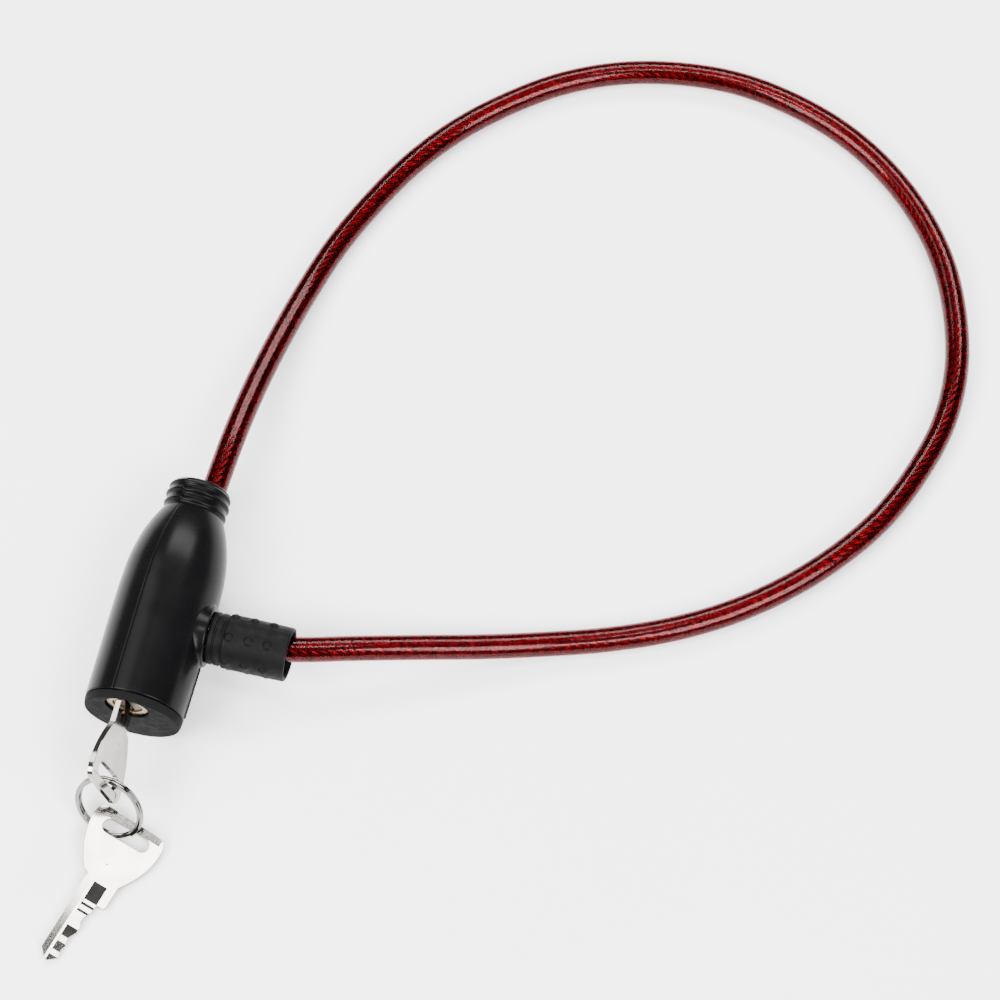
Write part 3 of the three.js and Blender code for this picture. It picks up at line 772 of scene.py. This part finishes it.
first_at = TURNING @ Vector((0, KEY_STEP_Y, 0))
key_one = key("key_inserted", placed(TURNING.to_3x3() @ Vector((1, 0, 0)), (0, 1, 0), first_at))
dress(key_one, NICKEL, "key", "nickel", "key_1")
key_two = key("key_spare", placed((0.12, -0.085, 1), (-0.274, -0.962, 0), on_table(2.17, -47.75, 2.6)))
dress(key_two, NICKEL, "spare_key", "nickel", "key_2")

# ---- split ring: two touching coils with one jog between them ----
RING_R = 10.5
RING_AT = (0.42, -27.66, 10.53)
RING_NORMAL = Vector((-0.183, -0.847, 0.499))
JOG = 0.8  # radians that the jog takes
WIRE_END = 4.6  # where the wire's ends are, round the ring
COIL = {"radial": 0.8, "axial": 0.45}  # half sizes of the flattened wire
ROUNDNESS = 0.55  # of the wire's section: 1 is an ellipse, 0 a rectangle


def squared(value):
    return math.copysign(abs(value) ** ROUNDNESS, value)


def split_ring():
    """Two coils of flattened wire that touch, with one jog from the first to the second."""
    steps = 300
    turns = np.linspace(0, 4 * PI - JOG - 0.05, steps)
    lift = smooth_step((turns - (2 * PI - JOG)) / JOG) - 0.5
    section = []
    for a in np.linspace(0, 2 * PI, 20, endpoint=False):
        section.append((COIL["radial"] * squared(math.cos(a)), COIL["axial"] * squared(math.sin(a))))
    points = []
    for turn, height in zip(turns, lift):
        for radial, axial in section:
            r = RING_R + radial
            points.append((r * math.cos(turn + WIRE_END), height + axial, r * math.sin(turn + WIRE_END)))
    faces = wrapped_grid(steps, len(section), ends=True)
    level = (RING_NORMAL.y, -RING_NORMAL.x, 0)
    place = placed(level, RING_NORMAL, on_table(*RING_AT))
    return add("ring", points, faces, place @ Matrix.Scale(MM, 4), crease=50)


dress(split_ring(), CHROME, "ring", "chrome", "split_ring")

# ---- CAD nodes that stay, with their metals ----
INSIDE = {
    "frame_front": ZINC, "frame_rear": ZINC, "cable_ferrule": ZINC, "pin_crimp": ZINC,
    "frame_screw_1": STEEL, "frame_screw_2": STEEL, "latch_bolt": STEEL,
    # the plug's brass carries painted shade of its recess
    "cylinder_plug": PLUG_BRASS_SHADE, "plug_clip": WIRE,
}
for number in range(1, 5):
    INSIDE[f"wafer_{number}"] = BRASS
    INSIDE[f"wafer_spring_{number}"] = WIRE
for node, material in INSIDE.items():
    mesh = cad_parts[node].data
    mesh.materials.clear()
    mesh.materials.append(material)

# ---- floor and lights ----
floor = bpy.data.objects.new("floor", bpy.data.meshes.new("floor"))
corners = [(x, y, -0.0001) for x, y in ((-3, -3), (3, -3), (3, 3), (-3, 3))]
floor.data.from_pydata(corners, [], [(0, 1, 2, 3)])
bpy.context.scene.collection.objects.link(floor)
paper = Finish("paper", Roughness=0.9, Specular_IOR_Level=0.2)
paper.colour(paper.noise(8, 3), (0.3, (0.95, 0.95, 0.95)), (0.7, (0.97, 0.97, 0.97)))
floor.data.materials.append(paper.material)

world = bpy.data.worlds.new("world")
world.use_nodes = True
world.node_tree.nodes["Background"].inputs["Color"].default_value = (1, 1, 1, 1)
world.node_tree.nodes["Background"].inputs["Strength"].default_value = 0.12
bpy.context.scene.world = world


def softbox(name, at, to, size, watts):
    light = bpy.data.lights.new(name, "AREA")
    light.shape = "RECTANGLE"
    light.size, light.size_y = size
    light.energy = watts
    lamp = bpy.data.objects.new(name, light)
    lamp.location = at
    lamp.rotation_euler = (Vector(to) - Vector(at)).to_track_quat("-Z", "Y").to_euler()
    bpy.context.scene.collection.objects.link(lamp)


softbox("overhead", (0.02, 0.12, 1.5), (0.02, 0.06, 0), (0.6, 0.24), 11)
softbox("sheen", (-0.75, 0.45, 1.2), (0, 0.05, 0), (0.35, 0.9), 7)
softbox("front_left", (-1.0, -0.9, 1.5), (0.05, 0.1, 0), (1.2, 1.2), 115)
softbox("front_right", (1.3, -0.8, 1.5), (0.05, 0.1, 0), (1.2, 1.2), 115)
softbox("back", (0.1, 1.45, 1.5), (0.05, 0.1, 0), (1.8, 0.7), 70)
